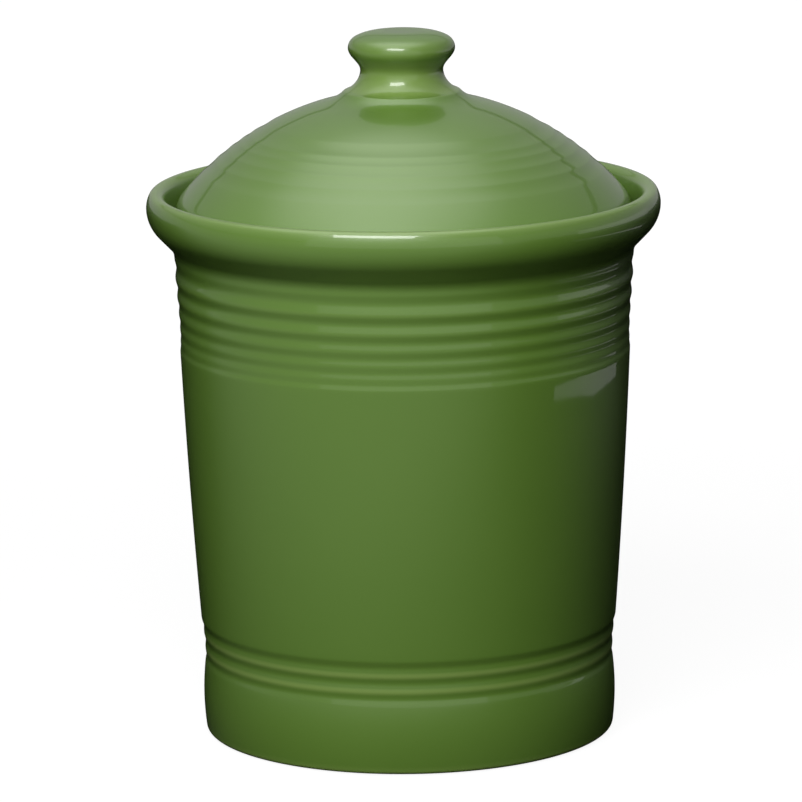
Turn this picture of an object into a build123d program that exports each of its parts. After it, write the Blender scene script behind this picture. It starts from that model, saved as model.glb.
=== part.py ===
from build123d import *
import os
from math import cos, radians, sin, sqrt

# A glazed stoneware canister: a jar, a domed lid that rests inside the jar's rim, and a seal
# ring in the lid's neck. Every piece is turned about the Z axis. Radii are from that axis,
# heights are above the table, and lengths are in millimetres.

# Jar: overall
jar_height = 175.2
foot_radius = 65.65
shoulder_radius = 71.8
wall_thickness = 5.2
floor_thickness = 6.0
floor_corner_radius = 8.0

# Jar: foot
foot_corner_radius = 1.4
foot_ring_width = 6.0
foot_recess_depth = 2.5
foot_recess_slope = 2.0

# Jar: foot band and the rings above it
band_height = 21.7
band_swell = 0.65
band_shoulder_swell = 0.1
base_ring_count = 3
base_ring_pitch = 5.05
base_ring_depth = 0.35
base_ring_rise = 0.35
body_start_swell = 1.1
body_bow = 0.35

# Jar: rings under the rim, counted from the top one down, each smaller than the one above
ring_count = 6
ring_pitch = 6.85
ring_pitch_step = 0.7
ring_depth = 0.5
ring_fade_share = 0.74
ring_zone_inset = 0.16
ring_zone_flare = 1.51

# Jar: rim
rim_height = 20.75
rim_overhang = 8.65
rim_crown = 5.05
rim_swell_radius = 11.1
rim_slope_angle = 44.0
cove_radius = 5.6
lip_width = 2.8
lip_turn_angle = 30.0
lip_land = 2.7
lip_edge_radius = 3.0

# Jar: seat for the lid
throat_wall = 6.57
throat_depth = 15.0
ledge_depth = 9.7
ledge_width = 7.6
ledge_corner_bevel = 1.0
throat_edge_bevel = 0.9
throat_blend_radius = 30.0

# Lid: dome
lid_play = 1.8
lid_edge_height = 5.75
lid_edge_radius = 3.0
seat_edge_bevel = 1.2
lid_wall = 5.4
dome_rise = 35.3
dome_corner_bevel = 2.0

# Lid: rings on the dome, counted from the outer one in
lid_ring_count = 5
lid_ring_margin = 7.2
lid_ring_pitch = 4.2
lid_ring_pitch_step = 0.3
lid_ring_depth = 0.17
lid_inner_groove_width = 5.5

# Lid: collar and knob
collar_radius = 18.55
collar_step = 1.98
collar_blend_width = 10.5
collar_edge_angle = 40.0
collar_flare_angle = 11.0
knob_radius = 17.0
knob_neck_radius = 13.15
knob_neck_height = 6.6
knob_head_height = 7.0
knob_shoulder_radius = 3.9
knob_shoulder_angle = 62.0
knob_crown = 1.9

# Lid: underside
neck_depth = 12.5
neck_wall = 4.5
neck_gap = 3.0
neck_edge_bevel = 1.0
dimple_radius = 6.5
dimple_depth = 15.0
dimple_corner_radius = 4.0

# Seal ring
seal_height = 7.0
seal_drop = 2.5
seal_groove_depth = 1.2
seal_base = 1.7
seal_clearance = 0.3
seal_fin_count = 2
seal_fin_root = 2.0
seal_fin_tip = 0.9
seal_fin_lift = 0.5

# Levels and radii that several pieces share
floor_top = foot_recess_depth + floor_thickness
neck_height = jar_height - rim_height
neck_radius = shoulder_radius - ring_zone_inset + ring_zone_flare
rim_radius = neck_radius + rim_overhang
lip_inner_radius = rim_radius - lip_width - lip_land
throat_radius = neck_radius - throat_wall
ledge_height = jar_height - ledge_depth
ledge_radius = throat_radius + ledge_width
lid_radius = ledge_radius - lid_play
lid_neck_radius = throat_radius - neck_gap
lid_neck_bottom = ledge_height - neck_depth
seal_top = ledge_height - seal_drop
seal_bottom = seal_top - seal_height
groove_radius = lid_neck_radius - seal_groove_depth


def turned(outline):
    """Solid of revolution of a closed outline drawn as (radius, height)."""
    return revolve(Plane.XZ * make_face(outline), Axis.Z)


def eased(outline, arcs, bevels):
    """Closed outline with its named corners, (radius, height, size), rounded or bevelled."""
    face = make_face(outline)
    for ease, corners in ((fillet, arcs), (chamfer, bevels)):
        for radius, height, size in corners:
            face = ease(face.vertices().sort_by_distance((radius, height))[0], size)
    return face.edges()


def scallop(start, end, depth):
    """Groove between two crests: an arc that sinks below the line between them, to its left."""
    start, end = Vector(*start), Vector(*end)
    along = (end - start).normalized()
    inward = Vector(-along.Y, along.X)
    return ThreePointArc(start, (start + end) / 2 + inward * depth, end)


def ring_crests():
    """Crests of the rings under the rim, from the top one down, with the foot of the last groove."""
    heights = [neck_height]
    for index in range(ring_count):
        heights.append(heights[-1] - ring_pitch + index * ring_pitch_step)
    span = heights[0] - heights[-2]
    crests = []
    for height in heights[:-1]:
        along = (height - heights[-2]) / span
        bend = along**2 * (3 - 2 * along)
        crests.append((shoulder_radius - ring_zone_inset + ring_zone_flare * bend, height))
    return [*crests, (shoulder_radius, heights[-1])]


def ring_grooves():
    """Scalloped grooves under the rim, from the lowest up: all but the two upper ones fade downwards."""
    crests = ring_crests()
    grooves = []
    for index in reversed(range(ring_count)):
        depth = ring_depth * ring_fade_share ** max(index - 1, 0)
        grooves.append(scallop(crests[index + 1], crests[index], depth))
    return grooves


def base_crests():
    """Crests of the rings above the foot band, from the band's shoulder up to the body's foot."""
    crests = [(foot_radius + band_shoulder_swell, band_height)]
    for index in range(1, base_ring_count):
        radius = foot_radius + base_ring_rise * (index - 1)
        crests.append((radius, band_height + base_ring_pitch * index))
    body_foot = band_height + base_ring_pitch * base_ring_count
    return [*crests, (foot_radius + body_start_swell, body_foot)]


def jar_outside():
    """Outside of the jar from the foot corner up to the widest part of the rim."""
    corner = JernArc((foot_radius - foot_corner_radius, 0), (1, 0), foot_corner_radius, 90)
    base = base_crests()
    band_middle = (foot_radius + band_swell, (foot_corner_radius + band_height) / 2)
    band = ThreePointArc(corner @ 1, band_middle, base[0])
    base_grooves = [scallop(low, high, base_ring_depth) for low, high in zip(base, base[1:])]
    grooves = ring_grooves()
    body = scallop(base[-1], grooves[0] @ 0, -body_bow)
    neck = (neck_radius, neck_height)
    cove = JernArc(neck, (0, 1), cove_radius, -rim_slope_angle)
    slope = radians(rim_slope_angle)
    widest = (rim_radius, jar_height - rim_crown)
    swell_start = (
        rim_radius - rim_swell_radius * (1 - cos(slope)),
        jar_height - rim_crown - rim_swell_radius * sin(slope),
    )
    return [
        corner,
        band,
        *base_grooves,
        body,
        *grooves,
        cove,
        Line(cove @ 1, swell_start),
        TangentArc(widest, swell_start, tangent=(0, -1)),
    ]


def lip():
    """Two arcs that roll the rim over from its widest part to its top: a long one, then a tight one."""
    turn = radians(lip_turn_angle)
    tight = (lip_width * sin(turn) - rim_crown * (1 - cos(turn))) / (sin(turn) + cos(turn) - 1)
    wide = (rim_crown - tight * (1 - sin(turn))) / sin(turn)
    side = JernArc((rim_radius, jar_height - rim_crown), (0, 1), wide, lip_turn_angle)
    return [side, JernArc(side @ 1, side % 1, tight, 90 - lip_turn_angle)]


def jar_inside():
    """Lip, ledge, throat and inside wall, from the widest part of the rim to the axis."""
    rolled = lip()
    inside = Polyline(
        rolled[-1] @ 1,
        (lip_inner_radius, jar_height),
        (ledge_radius, ledge_height),
        (throat_radius, ledge_height),
        (throat_radius, ledge_height - throat_depth),
        (foot_radius - wall_thickness, floor_top),
        (0, floor_top),
    )
    return [*rolled, inside]


def jar():
    """The crock, with its foot ring, rings, rolled rim, ledge and throat."""
    foot_outer = foot_radius - foot_corner_radius
    foot_inner = foot_outer - foot_ring_width
    underside = Polyline(
        (0, floor_top),
        (0, foot_recess_depth),
        (foot_inner - foot_recess_slope, foot_recess_depth),
        (foot_inner, 0),
        (foot_outer, 0),
    )
    arcs = [
        (lip_inner_radius, jar_height, lip_edge_radius),
        (throat_radius, ledge_height - throat_depth, throat_blend_radius),
        (foot_radius - wall_thickness, floor_top, floor_corner_radius),
    ]
    bevels = [
        (ledge_radius, ledge_height, ledge_corner_bevel),
        (throat_radius, ledge_height, throat_edge_bevel),
    ]
    return turned(eased([underside, *jar_outside(), *jar_inside()], arcs, bevels))


def dome_sphere():
    """Radius of the dome and the height of its centre, from the lid's width and rise."""
    radius = (lid_radius**2 + dome_rise**2) / (2 * dome_rise)
    return radius, ledge_height + lid_edge_height + dome_rise - radius


def on_dome(radius, wall=0):
    """Point of the dome at a radius from the axis, on its outside or a wall's thickness in."""
    sphere, centre = dome_sphere()
    return radius, centre + sqrt((sphere - wall) ** 2 - radius**2)


def dome_arc(outer, inner, wall=0):
    """Plain stretch of the dome between two radii, from the outer one in."""
    middle = (outer + inner) / 2
    return ThreePointArc(on_dome(outer, wall), on_dome(middle, wall), on_dome(inner, wall))


def lid_grooves():
    """Scalloped grooves of the rings on the dome, from the outer one in."""
    crests = [lid_radius - lid_ring_margin]
    for index in range(lid_ring_count - 1):
        crests.append(crests[-1] - lid_ring_pitch + index * lid_ring_pitch_step)
    crests.append(crests[-1] - lid_inner_groove_width)
    return [scallop(on_dome(a), on_dome(b), lid_ring_depth) for a, b in zip(crests, crests[1:])]


def knob_outline():
    """Flare, neck and head of the knob, from the collar's edge up to the axis."""
    collar = (collar_radius, on_dome(collar_radius)[1] + collar_step)
    flare = radians(collar_flare_angle)
    neck = (knob_neck_radius, collar[1] + knob_neck_height)
    head = (knob_radius, neck[1] + knob_head_height)
    turn = radians(knob_shoulder_angle)
    crown = (
        knob_radius - knob_shoulder_radius * (1 - cos(turn)),
        head[1] + knob_shoulder_radius * sin(turn),
    )
    top = (0, crown[1] + knob_crown)
    return [
        Spline(collar, neck, tangents=((-cos(flare), sin(flare)), (0, 1))),
        Spline(neck, head, tangents=((0, 1), (0, 1))),
        TangentArc(head, crown, tangent=(0, 1)),
        Spline(crown, top, tangents=((-sin(turn), cos(turn)), (-1, 0))),
    ]


def lid_outside():
    """Edge, ringed dome, collar and knob of the lid, from the seat to the axis."""
    knob = knob_outline()
    slant = radians(collar_edge_angle)
    grooves = lid_grooves()
    hem = dome_arc(lid_radius, lid_radius - lid_ring_margin)
    plain = dome_arc((grooves[-1] @ 1).X, collar_radius + collar_blend_width)
    return [
        Line((lid_radius, ledge_height), hem @ 0),
        hem,
        *grooves,
        plain,
        Spline(plain @ 1, knob[0] @ 0, tangents=(plain % 1, (-cos(slant), sin(slant)))),
        *knob,
    ]


def lid():
    """The domed cover, with its rings, collar, knob, seat and neck."""
    neck_inner = lid_neck_radius - neck_wall
    under = dome_arc(neck_inner, dimple_radius, lid_wall)
    outside = lid_outside()
    dimple_top = (under @ 1).Y + dimple_depth
    outline = [
        *outside,
        Polyline(outside[-1] @ 1, (0, dimple_top), (dimple_radius, dimple_top), under @ 1),
        under,
        Polyline(
            under @ 0,
            (neck_inner, lid_neck_bottom),
            (lid_neck_radius, lid_neck_bottom),
            (lid_neck_radius, seal_bottom),
            (groove_radius, seal_bottom),
            (groove_radius, seal_top),
            (lid_neck_radius, seal_top),
            (lid_neck_radius, ledge_height),
            (lid_radius, ledge_height),
        ),
    ]
    arcs = [
        (lid_radius, ledge_height + lid_edge_height, lid_edge_radius),
        (dimple_radius, dimple_top, dimple_corner_radius),
    ]
    bevels = [
        (neck_inner, (under @ 0).Y, dome_corner_bevel),
        (lid_radius, ledge_height, seat_edge_bevel),
        (neck_inner, lid_neck_bottom, neck_edge_bevel),
        (lid_neck_radius, lid_neck_bottom, neck_edge_bevel),
    ]
    return turned(eased(outline, arcs, bevels))


def seal_ring():
    """Finned silicone ring that fills the groove of the lid's neck and reaches for the throat."""
    inner = groove_radius + seal_clearance
    base = inner + seal_base
    tip = throat_radius - seal_clearance
    spacing = seal_height / seal_fin_count
    points = [(inner, seal_bottom), (base, seal_bottom)]
    for index in range(seal_fin_count):
        middle = seal_bottom + spacing * (index + 1 / 2)
        points.append((base, middle - seal_fin_root / 2))
        points.append((tip, middle + seal_fin_lift - seal_fin_tip / 2))
        points.append((tip, middle + seal_fin_lift + seal_fin_tip / 2))
        points.append((base, middle + seal_fin_root / 2))
    points += [(base, seal_top), (inner, seal_top)]
    return turned(Polyline(*points, close=True))


os.makedirs("parts", exist_ok=True)
for name, solid in {"jar": jar(), "lid": lid(), "seal_ring": seal_ring()}.items():
    export_step(solid, f"parts/{name}.step")
    print(name, round(solid.volume), solid.bounding_box().size)
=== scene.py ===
"""Looks of a glazed stoneware canister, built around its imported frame.

The jar, the lid and the seal ring are turned on one wheel: each class draws its half outline in
millimetres, and one Geometry Nodes tree spins that outline about the Z axis. The finishes read how
sharply the outline bends, because a running glaze thins on edges and gathers in hollows.
"""

import logging
import math
from dataclasses import dataclass, replace
from enum import Enum
from typing import Any, ClassVar, Mapping, NamedTuple, Sequence

import bmesh
import bpy
from mathutils import Matrix, Vector


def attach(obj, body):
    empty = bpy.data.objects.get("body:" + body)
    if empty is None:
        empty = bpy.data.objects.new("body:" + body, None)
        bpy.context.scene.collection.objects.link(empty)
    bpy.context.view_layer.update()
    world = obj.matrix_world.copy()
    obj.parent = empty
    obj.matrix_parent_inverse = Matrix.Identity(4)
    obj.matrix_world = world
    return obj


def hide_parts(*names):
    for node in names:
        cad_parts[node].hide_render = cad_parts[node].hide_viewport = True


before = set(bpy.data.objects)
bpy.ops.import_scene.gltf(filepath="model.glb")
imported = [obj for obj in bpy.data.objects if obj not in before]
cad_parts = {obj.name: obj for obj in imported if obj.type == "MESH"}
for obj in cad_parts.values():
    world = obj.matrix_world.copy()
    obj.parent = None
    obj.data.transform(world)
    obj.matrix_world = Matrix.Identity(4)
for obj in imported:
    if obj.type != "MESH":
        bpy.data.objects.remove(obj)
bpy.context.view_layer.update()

log = logging.getLogger("canister")

MM = 0.001
JOIN_MM = 0.01
WIPE_MM = 0.25
# Glaze break, which also carries painted highlight on the base ring crests and painted light on the
# knob's neck.
BREAK_AND_LIGHT = "glaze_break_and_light"
BARE = "bare_clay"
# Sockets of a Mix node that blends colours.
MIX_FIRST, MIX_SECOND, MIXED = 6, 7, 2

Point = tuple[float, float]


class Body(str, Enum):
    """Bodies of the frame that the pieces ride on."""

    JAR = "jar"
    SEAL = "seal"
    LID = "lid"


class Slot(str, Enum):
    """Material slots of the record."""

    GLAZE = "green_glaze"
    SILICONE = "silicone"


def linear(hex_colour: str) -> tuple[float, ...]:
    """Turns an sRGB hex colour such as "#5A7A30" to linear light, with an alpha of 1."""
    parts = [int(hex_colour[i : i + 2], 16) / 255 for i in (1, 3, 5)]
    light = [c / 12.92 if c <= 0.04045 else ((c + 0.055) / 1.055) ** 2.4 for c in parts]
    return *light, 1.0


def add_node(tree: Any, kind: str, inputs: Mapping[Any, Any] | None = None, **settings: Any) -> Any:
    """Adds a node to a tree with its settings, values and links.

    Args:
        tree: Node tree that takes the node.
        kind: Blender's name for the kind of node.
        inputs: Value or output socket for each input, by the input's name or number.
        settings: Attributes of the node.

    Returns:
        The new node.
    """
    node = tree.nodes.new(kind)
    for name, value in settings.items():
        setattr(node, name, value)
    for key, value in (inputs or {}).items():
        if isinstance(value, bpy.types.NodeSocket):
            tree.links.new(value, node.inputs[key])
        else:
            node.inputs[key].default_value = value
    return node


def new_material(name: str) -> tuple[bpy.types.Material, Any, Any]:
    """Starts a node material, and returns it with its tree and the place in the object's own space."""
    made = bpy.data.materials.new(name)
    made.use_nodes = True
    made.node_tree.nodes.clear()
    where = add_node(made.node_tree, "ShaderNodeTexCoord").outputs["Object"]
    return made, made.node_tree, where


def new_object(name: str, data: Any) -> bpy.types.Object:
    """Adds an object to the scene around its mesh, lamp or camera data."""
    made = bpy.data.objects.new(name, data)
    bpy.context.scene.collection.objects.link(made)
    return made


class Outline:
    """Half outline of a turned piece: radius from the axis and height above the table, in mm.

    The pen goes round the section with the clay on its left, so a left turn is an outer edge.
    """

    fine = 0.1
    fewest = 4

    def __init__(self, radius: float, height: float) -> None:
        """Puts the pen down, pointing straight outwards."""
        self.points: list[Point] = [(radius, height)]
        self.heading = 0.0

    def line(self, radius: float, height: float) -> None:
        """Draws a straight run to a point."""
        start = self.points[-1]
        length = math.dist(start, (radius, height))
        self.heading = math.atan2(height - start[1], radius - start[0])
        steps = max(1, round(length / self.fine))
        for k in range(1, steps + 1):
            t = k / steps
            self.points.append((start[0] + (radius - start[0]) * t, start[1] + (height - start[1]) * t))

    def turn(self, bend: float, degrees: float) -> None:
        """Draws an arc that leaves along the pen's heading.

        Args:
            bend: Radius of the arc.
            degrees: How far it turns, to the left if positive.
        """
        x, y = self.points[-1]
        total = math.radians(degrees)
        side = math.copysign(1.0, total)
        steps = max(self.fewest - 1, round(abs(total) * bend / self.fine))
        start = self.heading
        for k in range(1, steps + 1):
            now = start + total * k / steps
            self.points.append((
                x + side * bend * (math.sin(now) - math.sin(start)),
                y - side * bend * (math.cos(now) - math.cos(start)),
            ))
        self.heading = start + total

    def sag(self, radius: float, height: float, depth: float) -> None:
        """Draws an arc to a point, sunk to the left of the chord by a depth, or raised if negative."""
        x, y = self.points[-1]
        chord = math.dist((x, y), (radius, height))
        way = math.atan2(height - y, radius - x)
        half = 2 * math.atan2(2 * abs(depth), chord)
        bend = chord / (2 * math.sin(half))
        side = math.copysign(1.0, depth)
        self.heading = way + side * half
        self.turn(bend, math.degrees(-side * 2 * half))
        self.points[-1] = (radius, height)

    def wave(self, radius: float, height: float, depth: float) -> None:
        """Draws a rounded groove to the next crest, sunk to the left of the chord along a cosine."""
        x, y = self.points[-1]
        length = math.dist((x, y), (radius, height))
        way = math.atan2(height - y, radius - x)
        steps = max(self.fewest, round(length / self.fine))
        for k in range(1, steps + 1):
            t = k / steps
            sunk = depth * (1 - math.cos(math.tau * t)) / 2
            self.points.append((
                x + (radius - x) * t - sunk * math.sin(way),
                y + (height - y) * t + sunk * math.cos(way),
            ))
        self.heading = way

    def flow(self, radius: float, height: float, into: float, leave: float | None = None) -> None:
        """Draws a smooth sweep to a point.

        Args:
            radius: Radius of the end.
            height: Height of the end.
            into: Heading at the end, in degrees.
            leave: Heading at the start, in degrees, or the pen's own.
        """
        x, y = self.points[-1]
        first = self.heading if leave is None else math.radians(leave)
        last = math.radians(into)
        length = math.dist((x, y), (radius, height))
        steps = max(self.fewest, round(length / self.fine))
        for k in range(1, steps + 1):
            t = k / steps
            a, b = 2 * t**3 - 3 * t**2 + 1, t**3 - 2 * t**2 + t
            c, d = -2 * t**3 + 3 * t**2, t**3 - t**2
            self.points.append((
                a * x + b * length * math.cos(first) + c * radius + d * length * math.cos(last),
                a * y + b * length * math.sin(first) + c * height + d * length * math.sin(last),
            ))
        self.heading = last

    def run(self, *corners: tuple[float, float, float]) -> None:
        """Draws straight runs with rounded corners.

        Args:
            corners: Radius, height and rounding of each corner; the last one is the end.
        """
        for here, after in zip(corners, corners[1:]):
            back = self.points[-1]
            way_in = math.atan2(here[1] - back[1], here[0] - back[0])
            way_out = math.atan2(after[1] - here[1], after[0] - here[0])
            bend = math.remainder(way_out - way_in, math.tau)
            reach = here[2] * math.tan(abs(bend) / 2)
            self.line(here[0] - reach * math.cos(way_in), here[1] - reach * math.sin(way_in))
            if here[2] > 0:
                self.turn(here[2], math.degrees(bend))
        self.line(*corners[-1][:2])


@dataclass(frozen=True)
class Coat:
    """How a coat follows an outline: it rounds edges, and it thins or gathers where they bend.

    Attributes:
        rounding: Distance over which it rounds an edge, in mm.
        run: Distance over which it flows away from an edge, in mm.
        longest: Longest step between two points of the finished outline, in mm.
        sharpest: Largest turn between two points of the finished outline, in degrees.
        thin_bend: Bend of an outer edge that counts as 1 on the coat's scale, in rad per mm.
        passes: Number of box averages that make one rounding.
    """

    rounding: float = 0.32
    run: float = 0.85
    longest: float = 2.2
    sharpest: float = 4.0
    thin_bend: float = 0.3
    passes: int = 3

    def spread(self, values: Sequence[float], reach: float, step: float) -> list[float]:
        """Averages values along an evenly stepped outline with a few box passes.

        Args:
            values: One value a point.
            reach: Standard deviation of the average, in mm.
            step: Step between points, in mm.

        Returns:
            The averaged values.
        """
        half = max(1, round(reach / step))
        result = list(values)
        for _ in range(self.passes):
            total, sums = 0.0, [0.0]
            for value in result:
                total += value
                sums.append(total)
            count = len(result)
            result = [
                (sums[min(count, i + h + 1)] - sums[i - h]) / (2 * h + 1)
                for i in range(count)
                for h in (min(half, i, count - 1 - i),)
            ]
        return result

    def lay(self, outline: Outline) -> tuple[list[Point], list[float]]:
        """Rounds an outline and thins it to the points that its mesh needs.

        Args:
            outline: Outline as drawn.

        Returns:
            Points of the coated outline, and how much each is thinned (positive) or pooled.
        """
        step = outline.fine
        radii = self.spread([p[0] for p in outline.points], self.rounding, step)
        heights = self.spread([p[1] for p in outline.points], self.rounding, step)
        ways = [
            math.atan2(heights[i + 1] - heights[i], radii[i + 1] - radii[i])
            for i in range(len(radii) - 1)
        ]
        bends = [math.remainder(b - a, math.tau) for a, b in zip(ways, ways[1:])]
        bends = [0.0, *bends, 0.0]
        flows = self.spread([b / step for b in bends], self.run, step)
        points, breaks = [(radii[0], heights[0])], [flows[0] / self.thin_bend]
        used = 0.0
        for i in range(1, len(radii) - 1):
            length = math.dist((radii[i], heights[i]), (radii[i - 1], heights[i - 1]))
            used += length / self.longest + abs(bends[i]) / math.radians(self.sharpest)
            if used >= 1:
                points.append((radii[i], heights[i]))
                breaks.append(flows[i] / self.thin_bend)
                used = 0.0
        points.append((radii[-1], heights[-1]))
        breaks.append(flows[-1] / self.thin_bend)
        return points, breaks


class Wheel:
    """Geometry Nodes tree that turns an outline about the Z axis into a closed mesh."""

    def __init__(self) -> None:
        """Builds the tree with its named inputs."""
        self.tree = bpy.data.node_groups.new("potters_wheel", "GeometryNodeTree")
        self.tree.is_modifier = True
        self.keys = {}
        for name, way, kind in (
            ("Outline", "INPUT", "Geometry"),
            ("Sides", "INPUT", "Int"),
            ("Join Distance", "INPUT", "Float"),
            ("Finish", "INPUT", "Material"),
            ("Turned", "OUTPUT", "Geometry"),
        ):
            socket = self.tree.interface.new_socket(name, in_out=way, socket_type="NodeSocket" + kind)
            self.keys[name] = socket.identifier
        self._link()

    def _sampled(self, source: Any, value: Any, index: Any, data_type: str) -> Any:
        """Reads a value of the outline at the point that a grid column stands for."""
        return add_node(
            self.tree, "GeometryNodeSampleIndex",
            {"Geometry": source, "Value": value, "Index": index},
            data_type=data_type, domain="POINT", clamp=True,
        ).outputs["Value"]

    def _link(self) -> None:
        """Makes a grid of sides by outline points and lays each column on its own half plane."""
        tree = self.tree
        given = add_node(tree, "NodeGroupInput")
        outline, sides = given.outputs["Outline"], given.outputs["Sides"]
        count = add_node(
            tree, "GeometryNodeAttributeDomainSize", {"Geometry": outline}, component="MESH"
        ).outputs["Point Count"]
        index = add_node(tree, "GeometryNodeInputIndex").outputs[0]
        row = add_node(tree, "ShaderNodeMath", {0: index, 1: count}, operation="MODULO").outputs[0]
        place = add_node(tree, "GeometryNodeInputPosition").outputs[0]
        drawn = self._sampled(outline, place, row, "FLOAT_VECTOR")
        radius, _, height = add_node(tree, "ShaderNodeSeparateXYZ", {0: drawn}).outputs
        known = {"index": index, "count": count, "sides": sides, "radius": radius}
        known |= {"one": 1.0, "full turn": math.tau}
        for name, operation, *terms in (
            ("columns", "ADD", "sides", "one"),
            ("ratio", "DIVIDE", "index", "count"),
            ("column", "FLOOR", "ratio"),
            ("share", "DIVIDE", "column", "sides"),
            ("angle", "MULTIPLY", "share", "full turn"),
            ("sine", "SINE", "angle"),
            ("cosine", "COSINE", "angle"),
            ("x", "MULTIPLY", "radius", "sine"),
            ("y", "MULTIPLY", "radius", "cosine"),
        ):
            inputs = {number: known[term] for number, term in enumerate(terms)}
            known[name] = add_node(tree, "ShaderNodeMath", inputs, operation=operation).outputs[0]
        cells = {"Vertices X": known["columns"], "Vertices Y": count}
        grid = add_node(tree, "GeometryNodeMeshGrid", cells).outputs["Mesh"]
        parts = {"X": known["x"], "Y": known["y"], "Z": height}
        spun = add_node(tree, "ShaderNodeCombineXYZ", parts).outputs[0]
        mesh = add_node(tree, "GeometryNodeSetPosition", {"Geometry": grid, "Position": spun}).outputs[0]
        for name in (BREAK_AND_LIGHT, BARE):
            held = add_node(
                tree, "GeometryNodeInputNamedAttribute", {"Name": name}, data_type="FLOAT"
            ).outputs["Attribute"]
            value = self._sampled(outline, held, row, "FLOAT")
            mesh = add_node(
                tree, "GeometryNodeStoreNamedAttribute",
                {"Geometry": mesh, "Name": name, "Value": value}, data_type="FLOAT", domain="POINT",
            ).outputs[0]
        mesh = add_node(
            tree, "GeometryNodeMergeByDistance",
            {"Geometry": mesh, "Distance": given.outputs["Join Distance"]},
        ).outputs[0]
        for kind in ("FlipFaces", "SetShadeSmooth", "RealizeInstances"):
            mesh = add_node(tree, "GeometryNode" + kind, {0: mesh}).outputs[0]
        mesh = add_node(
            tree, "GeometryNodeSetMaterial", {"Geometry": mesh, "Material": given.outputs["Finish"]}
        ).outputs[0]
        add_node(tree, "NodeGroupOutput", {0: mesh})

    def turn(
        self,
        name: str,
        points: Sequence[Point],
        marks: Mapping[str, Sequence[float]],
        sides: int,
        finish: bpy.types.Material,
    ) -> bpy.types.Object:
        """Turns an outline into a plain mesh object at the origin.

        Args:
            name: Name of the piece.
            points: Radius and height of each point, in mm.
            marks: Values of the points, by attribute name.
            sides: Number of sides round the axis.
            finish: Material of the piece.

        Returns:
            The new object, with no modifier left on it.
        """
        mesh = bpy.data.meshes.new(name + "_outline")
        edges = [(i, i + 1) for i in range(len(points) - 1)]
        mesh.from_pydata([(r * MM, 0.0, z * MM) for r, z in points], edges, [])
        for mark, values in marks.items():
            mesh.attributes.new(mark, "FLOAT", "POINT").data.foreach_set("value", values)
        piece = new_object(name, mesh)
        spin = piece.modifiers.new("wheel", "NODES")
        spin.node_group = self.tree
        for key, value in {"Sides": sides, "Join Distance": JOIN_MM * MM, "Finish": finish}.items():
            spin[self.keys[key]] = value
        graph = bpy.context.evaluated_depsgraph_get()
        turned = bpy.data.meshes.new_from_object(piece.evaluated_get(graph), depsgraph=graph)
        piece.modifiers.remove(spin)
        piece.data = turned
        turned.name = name
        bpy.data.meshes.remove(mesh)
        return piece


class Grain(NamedTuple):
    """Noise pattern: the real size of its cells in mm, its detail and its roughness."""

    size: float
    detail: float
    roughness: float = 0.5


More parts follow.
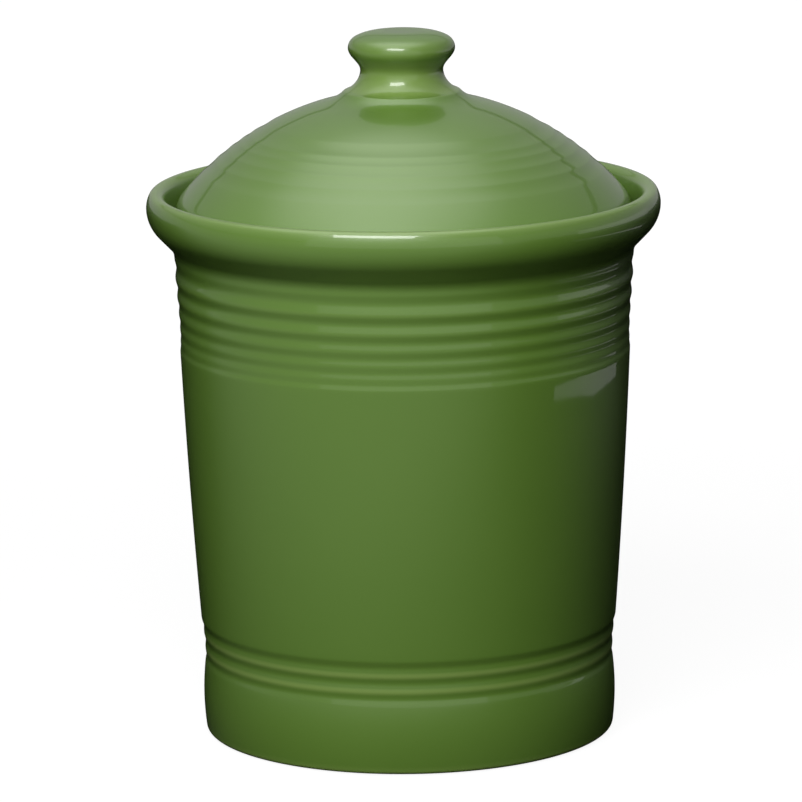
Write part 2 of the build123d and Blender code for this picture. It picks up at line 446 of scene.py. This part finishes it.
@dataclass(frozen=True)
class LeafGlaze:
    """Leaf-green gloss glaze on stoneware: dipped, then fired until it runs.

    It gives the eye an even, deep green under a glassy skin. Where it runs off an edge it is thin and
    the pale clay warms it; where it gathers in a groove it is darker. The foot ring and the lid's seat
    are wiped clean before the kiln, so the buff clay shows there, dry and matt.
    """

    body: str = "#547329"
    cloud: str = "#507025"
    # Thin glaze colour, also used as painted highlight on the base ring crests and as painted light on
    # the knob's neck.
    thin: str = "#7C944C"
    pooled: str = "#3F5F19"
    clay: str = "#D8CBB2"
    clay_dark: str = "#C3B295"
    pooled_bends: Point = (-0.5, -1.5)
    pooled_most: float = 0.8
    thin_bends: Point = (0.3, 2.3)
    thin_most: float = 0.6
    clay_roughness: float = 0.9
    haze: float = 0.35
    haze_level: float = 0.42
    skin: float = 0.58
    skin_roughness: float = 0.04
    ior: float = 1.52
    clouds: Grain = Grain(size=38.0, detail=3.0, roughness=0.55)
    grit: Grain = Grain(size=0.9, detail=2.0, roughness=0.6)
    ripple: Grain = Grain(size=7.0, detail=1.0, roughness=0.4)
    ripple_height_mm: float = 0.012

    def material(self) -> bpy.types.Material:
        """Builds the glaze's node material."""
        made, tree, where = new_material("stoneware_dipped_leaf_green_gloss_glaze")
        broken = add_node(tree, "ShaderNodeAttribute", attribute_name=BREAK_AND_LIGHT).outputs["Fac"]
        bare = add_node(tree, "ShaderNodeAttribute", attribute_name=BARE).outputs["Fac"]
        clouds, grit, ripple = (
            add_node(
                tree, "ShaderNodeTexNoise",
                {"Vector": where, "Scale": 1 / (size * MM), "Detail": detail, "Roughness": roughness},
            ).outputs["Fac"]
            for size, detail, roughness in (self.clouds, self.grit, self.ripple)
        )
        gathered, thinned, rough = (
            add_node(
                tree, "ShaderNodeMapRange",
                {"Value": value, "From Min": start, "From Max": end, "To Min": low, "To Max": high},
            ).outputs[0]
            for value, start, end, low, high in (
                (broken, *self.pooled_bends, 0.0, self.pooled_most),
                (broken, *self.thin_bends, 0.0, self.thin_most),
                (bare, 0.0, 1.0, self.haze, self.clay_roughness),
            )
        )
        layers = {"Factor": grit, MIX_FIRST: linear(self.clay), MIX_SECOND: linear(self.clay_dark)}
        clay = add_node(tree, "ShaderNodeMix", layers, data_type="RGBA").outputs[MIXED]
        colour = linear(self.body)
        for share, over in (
            (clouds, linear(self.cloud)), (gathered, linear(self.pooled)),
            (thinned, linear(self.thin)), (bare, clay),
        ):
            layers = {"Factor": share, MIX_FIRST: colour, MIX_SECOND: over}
            colour = add_node(tree, "ShaderNodeMix", layers, data_type="RGBA").outputs[MIXED]
        skin = add_node(
            tree, "ShaderNodeBump",
            {"Height": ripple, "Strength": 1.0, "Distance": self.ripple_height_mm * MM},
        ).outputs[0]
        shader = add_node(
            tree, "ShaderNodeBsdfPrincipled",
            {
                "Base Color": colour,
                "Roughness": rough,
                "Normal": skin,
                "IOR": self.ior,
                "Specular IOR Level": self.haze_level,
                "Coat Weight": self.skin,
                "Coat Roughness": self.skin_roughness,
                "Coat IOR": self.ior,
                "Coat Normal": skin,
            },
        ).outputs[0]
        add_node(tree, "ShaderNodeOutputMaterial", {"Surface": shader})
        return made


@dataclass(frozen=True)
class MouldedSilicone:
    """Food-safe silicone rubber, moulded: milky, soft-edged and satin, with a little light inside."""

    milk: str = "#DCDDD6"
    shade: str = "#C9CBC3"
    roughness: float = 0.42
    ior: float = 1.41
    glow: float = 0.25
    glow_mm: tuple[float, float, float] = (4.0, 4.0, 3.5)
    clouds: Grain = Grain(size=6.0, detail=3.0)

    def material(self) -> bpy.types.Material:
        """Builds the silicone's node material."""
        made, tree, where = new_material("silicone_rubber_moulded_milky")
        size, detail, roughness = self.clouds
        clouds = add_node(
            tree, "ShaderNodeTexNoise",
            {"Vector": where, "Scale": 1 / (size * MM), "Detail": detail, "Roughness": roughness},
        ).outputs["Fac"]
        layers = {"Factor": clouds, MIX_FIRST: linear(self.milk), MIX_SECOND: linear(self.shade)}
        colour = add_node(tree, "ShaderNodeMix", layers, data_type="RGBA").outputs[MIXED]
        shader = add_node(
            tree, "ShaderNodeBsdfPrincipled",
            {
                "Base Color": colour,
                "Roughness": self.roughness,
                "IOR": self.ior,
                "Subsurface Weight": self.glow,
                "Subsurface Radius": [reach * MM for reach in self.glow_mm],
                "Subsurface Scale": 1.0,
            },
        ).outputs[0]
        add_node(tree, "ShaderNodeOutputMaterial", {"Surface": shader})
        return made


@dataclass
class Turned:
    """Piece that is turned on the wheel, rides on a body and replaces a CAD node."""

    name: ClassVar[str]
    node: ClassVar[str]
    body: ClassVar[Body]
    slot: ClassVar[Slot]
    sides: int = 192
    coat: Coat = Coat()

    def outline(self) -> Outline:
        """Draws the half outline."""
        raise NotImplementedError

    def thinned(self, radius: float, height: float, thin: float) -> float:
        """How thin the coat is at a point whose bend alone makes it so thin, on the coat's scale."""
        return thin

    def wiped(self, radius: float, height: float) -> bool:
        """Whether the coat is wiped off at a point."""
        return False

    def build(self, wheel: Wheel, finish: bpy.types.Material) -> None:
        """Turns the piece and puts it on its body in place of its CAD node."""
        points, breaks = self.coat.lay(self.outline())
        marks = {
            BREAK_AND_LIGHT: [self.thinned(r, z, thin) for (r, z), thin in zip(points, breaks)],
            BARE: [float(self.wiped(r, z)) for r, z in points],
        }
        piece = wheel.turn(self.name, points, marks, self.sides, finish)
        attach(piece, self.body.value)
        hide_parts(self.node)
        log.info("%s: %d faces, rides on %s", self.name, len(piece.data.polygons), self.body.value)


@dataclass
class Jar(Turned):
    """The crock: foot, ringed body, rolled rim, ledge for the lid and inside. Sizes in mm."""

    name = "jar_glazed"
    node = "jar"
    body = Body.JAR
    slot = Slot.GLAZE
    height: float = 175.2
    foot: float = 65.65
    shoulder: float = 71.8
    wall: float = 5.2
    floor_top: float = 8.5
    foot_corner: float = 1.4
    foot_ring: float = 6.0
    recess: float = 2.5
    recess_slope: float = 2.0
    recess_round: float = 0.8
    recess_edge: float = 0.4
    wipe_inner: float = 0.6
    wipe_outer: float = 0.5
    band: float = 21.7
    band_swell: float = 0.65
    band_shoulder: float = 0.1
    base_rings: int = 3
    base_pitch: float = 5.05
    base_depth: float = 0.35
    base_rise: float = 0.35
    # Paler band on the base ring crests: partly glaze break, partly painted highlight.
    base_break_and_highlight: float = 2.3
    break_and_highlight_reach: float = 1.5
    body_start: float = 1.1
    body_bow: float = 0.35
    rings: int = 6
    ring_pitch: float = 6.85
    ring_pitch_step: float = 0.7
    ring_depth: float = 0.5
    ring_fade: float = 0.74
    ring_inset: float = 0.16
    ring_flare: float = 1.51
    rim: float = 20.75
    overhang: float = 8.62
    crown: float = 5.05
    swell: float = 11.1
    slope: float = 44.0
    cove: float = 5.6
    lip: float = 2.8
    lip_turn: float = 30.0
    lip_land: float = 2.7
    lip_edge: float = 3.0
    throat_wall: float = 6.57
    throat_depth: float = 15.0
    ledge_depth: float = 9.7
    ledge_width: float = 7.6
    ledge_corner: float = 1.2
    throat_edge: float = 1.0
    throat_blend: float = 30.0
    floor_corner: float = 8.0

    @property
    def neck(self) -> Point:
        """Topmost crest, where the cove under the rim begins."""
        return self.shoulder - self.ring_inset + self.ring_flare, self.height - self.rim

    @property
    def rim_radius(self) -> float:
        """Widest part of the rim."""
        return self.neck[0] + self.overhang

    @property
    def throat(self) -> float:
        """Radius of the throat below the ledge."""
        return self.neck[0] - self.throat_wall

    @property
    def ledge(self) -> Point:
        """Outer corner of the ledge that carries the lid."""
        return self.throat + self.ledge_width, self.height - self.ledge_depth

    def crests(self) -> list[Point]:
        """Crests of the rings under the rim, from the foot of the lowest groove up."""
        heights = [self.neck[1]]
        for index in range(self.rings):
            heights.append(heights[-1] - self.ring_pitch + index * self.ring_pitch_step)
        span = heights[0] - heights[-2]
        crests = [(self.shoulder, heights[-1])]
        for height in reversed(heights[:-1]):
            along = (height - heights[-2]) / span
            bend = along**2 * (3 - 2 * along)
            crests.append((self.shoulder - self.ring_inset + self.ring_flare * bend, height))
        return crests

    def outside(self, pen: Outline) -> None:
        """Draws the foot band, base rings, bowed body and upper rings, from the foot corner up."""
        corner = pen.points[-1][1]
        pen.points[-1] = (self.foot, corner)
        pen.sag(self.foot + self.band_shoulder, self.band, self.band_shoulder / 2 - self.band_swell)
        for index in range(1, self.base_rings + 1):
            out = self.base_rise * (index - 1) if index < self.base_rings else self.body_start
            pen.wave(self.foot + out, self.band + self.base_pitch * index, self.base_depth)
        crests = self.crests()
        pen.sag(*crests[0], -self.body_bow)
        for index, crest in enumerate(crests[1:]):
            fade = self.ring_fade ** max(self.rings - 2 - index, 0)
            pen.wave(*crest, self.ring_depth * fade)

    def rolled_rim(self, pen: Outline) -> None:
        """Draws the cove, the swelling rim and its lip, from the topmost crest up."""
        pen.heading = math.radians(90)
        pen.turn(self.cove, -self.slope)
        lean = math.radians(self.slope)
        pen.line(
            self.rim_radius - self.swell * (1 - math.cos(lean)),
            self.height - self.crown - self.swell * math.sin(lean),
        )
        pen.heading = math.radians(90 - self.slope)
        pen.turn(self.swell, self.slope)
        turn = math.radians(self.lip_turn)
        tight = self.lip * math.sin(turn) - self.crown * (1 - math.cos(turn))
        tight /= math.sin(turn) + math.cos(turn) - 1
        wide = (self.crown - tight * (1 - math.sin(turn))) / math.sin(turn)
        pen.turn(wide, self.lip_turn)
        pen.turn(tight, 90 - self.lip_turn)

    def outline(self) -> Outline:
        """Draws the whole half outline, from the middle of the underside to the middle of the floor."""
        flat = self.foot - self.foot_corner
        inner = flat - self.foot_ring
        pen = Outline(0.0, self.recess)
        pen.run(
            (inner - self.recess_slope, self.recess, self.recess_round),
            (inner, 0.0, self.recess_edge),
            (flat, 0.0, 0.0),
        )
        pen.turn(self.foot_corner, 90)
        self.outside(pen)
        self.rolled_rim(pen)
        pen.run(
            (self.rim_radius - self.lip - self.lip_land, self.height, self.lip_edge),
            (*self.ledge, self.ledge_corner),
            (self.throat, self.ledge[1], self.throat_edge),
            (self.throat, self.ledge[1] - self.throat_depth, self.throat_blend),
            (self.foot - self.wall, self.floor_top, self.floor_corner),
            (0.0, self.floor_top, 0.0),
        )
        return pen

    def thinned(self, radius: float, height: float, thin: float) -> float:
        """Adds a paler band on the crests of the base rings: partly the glaze's break, partly a painted
        highlight.
        """
        if radius < self.foot - self.wall / 2:
            return thin
        crests = (self.band + self.base_pitch * index for index in range(1, self.base_rings))
        off = min(abs(height - crest) for crest in crests)
        return thin + self.base_break_and_highlight * max(0.0, 1 - off / self.break_and_highlight_reach)

    def wiped(self, radius: float, height: float) -> bool:
        """Whether a point is on the foot ring."""
        flat = self.foot - self.foot_corner
        inner, outer = flat - self.foot_ring - self.wipe_inner, flat + self.wipe_outer
        return height < WIPE_MM and inner <= radius <= outer


@dataclass
class Lid(Turned):
    """The domed cover: seat, ringed dome, collar, mushroom knob and neck. Sizes in mm."""

    name = "lid_glazed"
    node = "lid"
    body = Body.LID
    slot = Slot.GLAZE
    seat_height: float = 165.5
    radius: float = 72.38
    edge_height: float = 5.75
    edge_round: float = 3.0
    edge_share: float = 0.55
    seat_edge: float = 1.4
    wall: float = 5.4
    rise: float = 35.3
    rings: int = 5
    ring_margin: float = 8.7
    ring_pitch: float = 4.3
    ring_pitch_step: float = 0.3
    ring_depth: float = 0.17
    inner_groove: float = 5.8
    collar: float = 18.55
    collar_step: float = 1.98
    collar_blend: float = 10.5
    collar_slant: float = 52.0
    collar_flare: float = 11.0
    knob: float = 17.0
    knob_neck: float = 13.15
    knob_neck_height: float = 6.6
    knob_head: float = 7.0
    knob_shoulder: float = 3.9
    knob_shoulder_turn: float = 62.0
    knob_crown: float = 1.85
    neck_radius: float = 63.58
    neck_depth: float = 12.5
    neck_wall: float = 4.5
    neck_edge: float = 1.2
    groove_depth: float = 1.2
    groove_edge: float = 0.2
    seat_corner: float = 0.8
    wipe_inner: float = 0.5
    seal_top: float = 163.0
    seal_height: float = 7.0
    # Paler band on the knob's neck and the underside of its head: partly thin glaze, partly painted
    # light.
    neck_drain_and_light: float = 1.6
    pale_band_start: float = -0.1
    pale_band_end: float = 1.9
    pale_band_rise: float = 0.2
    pale_band_fall: float = 0.4
    dimple: float = 6.5
    dimple_depth: float = 15.0
    dimple_corner: float = 4.0

    @property
    def sphere(self) -> float:
        """Radius of the dome."""
        return (self.radius**2 + self.rise**2) / (2 * self.rise)

    def on_dome(self, radius: float, wall: float = 0.0) -> Point:
        """Point of the dome at a radius, on its outside or a wall's thickness in."""
        centre = self.seat_height + self.edge_height + self.rise - self.sphere
        return radius, centre + math.sqrt((self.sphere - wall) ** 2 - radius**2)

    @property
    def collar_top(self) -> float:
        """Height of the collar's edge."""
        return self.on_dome(self.collar)[1] + self.collar_step

    def dome(self, pen: Outline, radius: float, wall: float = 0.0) -> None:
        """Draws a plain stretch of the dome from the pen's radius to another one."""
        start, end = self.on_dome(pen.points[-1][0], wall), self.on_dome(radius, wall)
        bend = self.sphere - wall
        sagitta = bend - math.sqrt(bend**2 - (math.dist(start, end) / 2) ** 2)
        pen.sag(*end, sagitta if radius > start[0] else -sagitta)

    def underside(self) -> Outline:
        """Draws the dimple, the dome's underside, the grooved neck and the seat, to the edge."""
        rim = self.on_dome(self.dimple, self.wall)
        top = rim[1] + self.dimple_depth
        pen = Outline(0.0, top)
        pen.run((self.dimple, top, self.dimple_corner), (*rim, 0.0))
        inner = self.neck_radius - self.neck_wall
        self.dome(pen, inner, self.wall)
        foot = self.seat_height - self.neck_depth
        groove = self.neck_radius - self.groove_depth
        low = self.seal_top - self.seal_height
        pen.run(
            (inner, foot, self.neck_edge),
            (self.neck_radius, foot, self.neck_edge),
            (self.neck_radius, low, self.groove_edge),
            (groove, low, self.groove_edge),
            (groove, self.seal_top, self.groove_edge),
            (self.neck_radius, self.seal_top, self.groove_edge),
            (self.neck_radius, self.seat_height, self.seat_corner),
            (self.radius, self.seat_height, self.seat_edge),
            (self.radius, self.seat_height + self.edge_height - self.edge_round, 0.0),
        )
        return pen

    def knob_outline(self, pen: Outline) -> None:
        """Draws the collar's flare, the knob's neck and its head, up to the axis."""
        neck_height = pen.points[-1][1] + self.knob_neck_height
        pen.flow(self.knob_neck, neck_height, 90, 180 - self.collar_flare)
        pen.flow(self.knob, neck_height + self.knob_head, 90)
        pen.turn(self.knob_shoulder, self.knob_shoulder_turn)
        pen.flow(0.0, pen.points[-1][1] + self.knob_crown, 180)

    def outline(self) -> Outline:
        """Draws the whole half outline, from the dimple to the middle of the knob's top."""
        pen = self.underside()
        edge = self.radius - self.edge_round * self.edge_share
        pen.flow(*self.on_dome(edge), 180 - math.degrees(math.asin(edge / self.sphere)), 90)
        crest = self.radius - self.ring_margin
        self.dome(pen, crest)
        for index in range(self.rings):
            step = self.ring_pitch - index * self.ring_pitch_step
            crest -= step if index < self.rings - 1 else self.inner_groove
            pen.sag(*self.on_dome(crest), self.ring_depth)
        self.dome(pen, self.collar + self.collar_blend)
        leave = 180 - math.degrees(math.asin(pen.points[-1][0] / self.sphere))
        pen.flow(self.collar, self.collar_top, 180 - self.collar_slant, leave)
        self.knob_outline(pen)
        return pen

    def thinned(self, radius: float, height: float, thin: float) -> float:
        """Pales the knob's neck and the underside of its head: partly thin glaze draining off, partly
        painted light where the neck is lit.
        """
        up = (height - self.collar_top) / self.knob_neck_height
        if radius < self.knob_neck - self.wall or not self.pale_band_start < up < self.pale_band_end:
            return thin
        into, left = (up - self.pale_band_start) / self.pale_band_rise, (self.pale_band_end - up) / self.pale_band_fall
        return max(thin, self.neck_drain_and_light * min(1.0, into, left))

    def wiped(self, radius: float, height: float) -> bool:
        """Whether a point is on the seat."""
        return abs(height - self.seat_height) < WIPE_MM and radius > self.neck_radius + self.wipe_inner


@dataclass
class SealRing(Turned):
    """Finned silicone ring in the groove of the lid's neck. Sizes in mm."""

    name = "seal_ring_moulded"
    node = "seal_ring"
    body = Body.SEAL
    slot = Slot.SILICONE
    inner: float = 62.68
    base: float = 64.38
    tip: float = 66.28
    bottom: float = 156.0
    height: float = 7.0
    fins: int = 2
    fin_root: float = 2.0
    fin_tip: float = 0.9
    fin_lift: float = 0.5
    edge: float = 0.2
    sides: int = 160
    coat: Coat = Coat(rounding=0.1, longest=1.2, sharpest=14.0)

    def outline(self) -> Outline:
        """Draws the closed section, from the middle of its inner wall round and back."""
        top = self.bottom + self.height
        start = (self.inner, self.bottom + self.height / 2)
        corners = [(self.inner, self.bottom, self.edge), (self.base, self.bottom, self.edge)]
        spacing = self.height / self.fins
        for index in range(self.fins):
            middle = self.bottom + spacing * (index + 0.5)
            lifted = middle + self.fin_lift
            corners += [
                (self.base, middle - self.fin_root / 2, self.edge),
                (self.tip, lifted - self.fin_tip / 2, self.edge),
                (self.tip, lifted + self.fin_tip / 2, self.edge),
                (self.base, middle + self.fin_root / 2, self.edge),
            ]
        corners += [(self.base, top, self.edge), (self.inner, top, self.edge), (*start, 0.0)]
        pen = Outline(*start)
        pen.run(*corners)
        return pen


def glow_in_mirrors(prop: bpy.types.Object, finish: bpy.types.Material, **glow: Any) -> None:
    """Lights a studio prop that shows in the glaze's reflections and nowhere else."""
    light = add_node(finish.node_tree, "ShaderNodeEmission", glow).outputs[0]
    add_node(finish.node_tree, "ShaderNodeOutputMaterial", {"Surface": light})
    prop.data.materials.append(finish)
    prop.visible_camera = False
    prop.visible_diffuse = False
    prop.visible_transmission = False
    prop.visible_shadow = False


@dataclass(frozen=True)
class Card:
    """Glowing card that only mirrors see, with a band of its own brightness. Sizes in metres.

    Attributes:
        name: Name of the card.
        centre: Place of its middle.
        turn: Angles about X, Y and Z that turn it from lying face up, in degrees.
        width: Size along its own X axis.
        height: Size along its own Y axis.
        bright: Brightness of the band, where white paper is 1.
        dim: Brightness far from the band.
        peak: Place of the band's middle along its own X axis.
        hold: Half width of the band.
        fall: Distance from the band's middle where the card has become dim.
        bend: Radius that it is bent to, hollow towards the canister, or 0 if it is flat.
        strips: Number of flat strips that a bent card is cut in.
    """

    name: str
    centre: tuple[float, float, float]
    turn: tuple[float, float, float]
    width: float
    height: float
    bright: float
    dim: float
    peak: float = 0.0
    hold: float = 0.0
    fall: float = 1.0
    bend: float = 0.0
    strips: int = 24

    def sheet(self) -> bpy.types.Mesh:
        """Cuts the card's sheet, in strips if it is bent."""
        strips = self.strips if self.bend else 1
        corners = []
        for k in range(strips + 1):
            along = (k / strips - 0.5) * self.width
            turn = along / self.bend if self.bend else 0.0
            x = self.bend * math.sin(turn) if self.bend else along
            z = -self.bend * (1 - math.cos(turn))
            corners += [(x, -self.height / 2, z), (x, self.height / 2, z)]
        mesh = bpy.data.meshes.new(self.name)
        mesh.from_pydata(corners, [], [(2 * k, 2 * k + 2, 2 * k + 3, 2 * k + 1) for k in range(strips)])
        return mesh

    def build(self) -> None:
        """Hangs the card."""
        card = new_object(self.name, self.sheet())
        card.location = self.centre
        card.rotation_euler = [math.radians(angle) for angle in self.turn]
        glow, tree, where = new_material(self.name)
        along = add_node(tree, "ShaderNodeSeparateXYZ", {0: where}).outputs["X"]
        off = add_node(tree, "ShaderNodeMath", {0: along, 1: self.peak}, operation="SUBTRACT").outputs[0]
        away = add_node(tree, "ShaderNodeMath", {0: off}, operation="ABSOLUTE").outputs[0]
        span = {"From Min": self.hold, "From Max": self.fall, "To Min": self.bright, "To Max": self.dim}
        strength = add_node(
            tree, "ShaderNodeMapRange", {"Value": away, **span}, interpolation_type="SMOOTHSTEP"
        ).outputs[0]
        glow_in_mirrors(card, glow, Strength=strength)


@dataclass(frozen=True)
class Tent:
    """White light tent that only mirrors see: grey low down and brighter the higher. Sizes in metres.

    Attributes:
        radius: Radius of the tent.
        centre: Height of its middle.
        lean: Degrees that its bright top leans to the left.
        tip: Degrees that its bright top leans to the camera.
        top: Brightness at the top, where white paper is 1.
        steps: Elevation in degrees and share of the top's brightness, from the ground up.
        cuts: Panels round the tent, and rows of them from bottom to top.
    """

    radius: float = 3.2
    centre: float = 0.15
    lean: float = 7.0
    tip: float = 3.0
    top: float = 3.15
    steps: tuple[tuple[float, float], ...] = (
        (0, 0.12), (12, 0.13), (18, 0.13), (18.6, 0.0), (20.4, 0.0), (21, 0.13), (28, 0.135), (36, 0.16),
        (45, 0.19), (50, 0.24), (55, 0.38), (60, 0.56), (65, 0.69), (70, 0.8), (75, 0.9), (82, 1.0),
    )
    cuts: tuple[int, int] = (48, 32)

    def build(self) -> None:
        """Pitches the tent."""
        shell = bmesh.new()
        panels, rows = self.cuts
        bmesh.ops.create_uvsphere(shell, u_segments=panels, v_segments=rows, radius=self.radius)
        mesh = bpy.data.meshes.new("tent")
        shell.to_mesh(mesh)
        shell.free()
        tent = new_object("tent", mesh)
        tent.location = (0.0, 0.0, self.centre)
        cloth, tree, where = new_material("tent")
        way = add_node(tree, "ShaderNodeVectorMath", {0: where}, operation="NORMALIZE").outputs[0]
        pole = Vector((-math.tan(math.radians(self.lean)), -math.tan(math.radians(self.tip)), 1.0))
        rise = add_node(
            tree, "ShaderNodeVectorMath", {0: way, 1: pole.normalized()}, operation="DOT_PRODUCT"
        ).outputs["Value"]
        shades = add_node(tree, "ShaderNodeValToRGB", {"Fac": rise})
        stops = shades.color_ramp.elements
        for number, (elevation, share) in enumerate(self.steps):
            place = math.sin(math.radians(elevation))
            stop = stops[number] if number < len(stops) else stops.new(place)
            stop.position = place
            stop.color = (share, share, share, 1.0)
        glow_in_mirrors(tent, cloth, Color=shades.outputs["Color"], Strength=self.top)


@dataclass(frozen=True)
class SoftBox:
    """Rectangular lamp that points at the canister. Sizes in metres.

    Attributes:
        name: Name of the lamp.
        azimuth: Degrees to the right of the camera, seen from the canister.
        elevation: Degrees above the level of the canister's middle.
        away: Distance from the canister's middle.
        width: Width of the box.
        height: Height of the box.
        radiance: Brightness of its face, where white paper is 1.
        mirrored: Whether the glaze mirrors it.
        aim: Height of the canister's middle.
    """

    name: str
    azimuth: float
    elevation: float
    away: float
    width: float
    height: float
    radiance: float
    mirrored: bool = True
    aim: float = 0.12

    def build(self) -> None:
        """Hangs the lamp."""
        data = bpy.data.lights.new(self.name, "AREA")
        data.shape = "RECTANGLE"
        data.size, data.size_y = self.width, self.height
        data.energy = self.radiance * self.width * self.height * math.pi
        lamp = new_object(self.name, data)
        turn, rise = math.radians(self.azimuth), math.radians(self.elevation)
        level = math.cos(rise)
        way = Vector((math.sin(turn) * level, -math.cos(turn) * level, math.sin(rise)))
        lamp.location = Vector((0.0, 0.0, self.aim)) + way * self.away
        lamp.rotation_euler = (-way).to_track_quat("-Z", "Y").to_euler()
        lamp.visible_camera = False
        lamp.visible_glossy = self.mirrored


@dataclass
class Studio:
    """Pale floor, soft boxes, cards and the camera of the photograph. Sizes in metres and degrees."""

    floor_size: float = 9.0
    floor_drop: float = 0.0004
    floor_grey: float = 0.09
    floor_glow: float = 0.925
    far_glow: float = 1.0
    glow_from: float = 0.2
    glow_to: float = 1.3
    backdrop: float = 1.0
    fill: float = 0.05
    camera_away: float = 1.9
    camera_height: float = 0.50157
    camera_side: float = -0.00157
    pitch: float = 11.76
    roll: float = -0.736
    lens: float = 272.23
    sensor: float = 36.0
    farthest: float = 50.0

    def seen(self, tree: Any) -> Any:
        """Factor that is 1 for what the eye, a mirror or glass sees, and 0 for bounced light."""
        path = add_node(tree, "ShaderNodeLightPath").outputs
        factor = path["Is Camera Ray"]
        for other in (path["Is Glossy Ray"], path["Is Transmission Ray"]):
            pair = {0: factor, 1: other}
            factor = add_node(tree, "ShaderNodeMath", pair, operation="MAXIMUM").outputs[0]
        return factor

    def floor(self) -> None:
        """Lays the floor: it looks white and keeps the canister's shadow."""
        half = self.floor_size / 2
        mesh = bpy.data.meshes.new("floor")
        corners = [(-half, -half), (half, -half), (half, half), (-half, half)]
        mesh.from_pydata([(x, y, -self.floor_drop) for x, y in corners], [], [(0, 1, 2, 3)])
        floor = new_object("floor", mesh)
        paper, tree, where = new_material("white_paper_sweep")
        grey = (self.floor_grey, self.floor_grey, self.floor_grey, 1.0)
        matt = add_node(tree, "ShaderNodeBsdfDiffuse", {"Color": grey}).outputs[0]
        away = add_node(tree, "ShaderNodeVectorMath", {0: where}, operation="LENGTH").outputs["Value"]
        span = {"From Min": self.glow_from, "From Max": self.glow_to}
        span |= {"To Min": self.floor_glow, "To Max": self.far_glow}
        lit = add_node(
            tree, "ShaderNodeMapRange", {"Value": away, **span}, interpolation_type="SMOOTHSTEP"
        ).outputs[0]
        strength = add_node(
            tree, "ShaderNodeMath", {0: self.seen(tree), 1: lit}, operation="MULTIPLY"
        ).outputs[0]
        glow = add_node(tree, "ShaderNodeEmission", {"Strength": strength}).outputs[0]
        both = add_node(tree, "ShaderNodeAddShader", {0: matt, 1: glow}).outputs[0]
        add_node(tree, "ShaderNodeOutputMaterial", {"Surface": both})
        mesh.materials.append(paper)

    def sky(self) -> None:
        """Makes the world white where it is seen, and only a faint fill where it lights."""
        world = bpy.data.worlds.new("studio")
        bpy.context.scene.world = world
        world.use_nodes = True
        tree = world.node_tree
        tree.nodes.clear()
        strength = add_node(
            tree, "ShaderNodeMapRange",
            {"Value": self.seen(tree), "To Min": self.fill, "To Max": self.backdrop},
        ).outputs[0]
        light = add_node(tree, "ShaderNodeBackground", {"Strength": strength}).outputs[0]
        add_node(tree, "ShaderNodeOutputWorld", {"Surface": light})

    def lights(self) -> None:
        """Hangs the soft boxes, the tent and the cards that the photograph's highlights show."""
        key = SoftBox(
            "key_box", azimuth=-15, elevation=46, away=1.4, width=0.76, height=0.38, radiance=13.5
        )
        fill = SoftBox(
            "fill_box", azimuth=-12, elevation=31, away=1.2, width=0.7, height=0.45, radiance=9.9,
            mirrored=False,
        )
        back = SoftBox(
            "back_box", azimuth=168, elevation=36, away=1.4, width=0.8, height=0.6, radiance=4.9,
            mirrored=False,
        )
        # The table is black behind the canister, so that the jar's edges stay dark.
        table = Card(
            "table", centre=(0, 0, -self.floor_drop / 2), turn=(0, 0, 60), width=6.0, height=6.0,
            bright=0.0, dim=0.42, peak=2.75, hold=2.75, fall=3.15,
        )
        front = Card(
            "front_wall", centre=(0, -1.6, 0.6), turn=(90, 0, 0), width=3.0, height=1.2,
            bright=1.0, dim=1.0,
        )
        # The panel streaks the rings on the right, and the strip on the floor shows as a patch below.
        panel = Card(
            "side_panel", centre=(0.475, 0.118, 0.168), turn=(90, 0, 100.5), width=0.462, height=0.08,
            bright=1.0, dim=0.5, peak=-0.17, hold=0.1, fall=0.42, bend=0.503,
        )
        strip = replace(
            panel, name="side_edge", centre=(0.475, 0.118, 0.007), turn=(90, -2.0, 100.5), height=0.016
        )
        for prop in (key, fill, back, Tent(), table, front, panel, strip):
            prop.build()

    def camera(self) -> None:
        """Sets the camera where the photograph was taken from."""
        data = bpy.data.cameras.new("camera")
        data.sensor_width = self.sensor
        data.lens = self.lens
        data.clip_end = self.farthest
        camera = new_object("camera", data)
        place = Matrix.Translation((self.camera_side, -self.camera_away, self.camera_height))
        tilt = Matrix.Rotation(math.radians(90 - self.pitch), 4, "X")
        camera.matrix_world = place @ tilt @ Matrix.Rotation(math.radians(self.roll), 4, "Z")
        bpy.context.scene.camera = camera

    def build(self) -> None:
        """Sets the whole studio up."""
        self.floor()
        self.sky()
        self.lights()
        self.camera()
        bpy.context.scene.view_settings.view_transform = "Standard"


def main() -> None:
    """Builds the canister's pieces in order, then the studio."""
    logging.basicConfig(level=logging.INFO, format="%(message)s")
    wheel = Wheel()
    glaze = LeafGlaze().material()
    Jar().build(wheel, glaze)
    Lid().build(wheel, glaze)
    SealRing().build(wheel, MouldedSilicone().material())
    Studio().build()


if __name__ == "__main__":
    main()
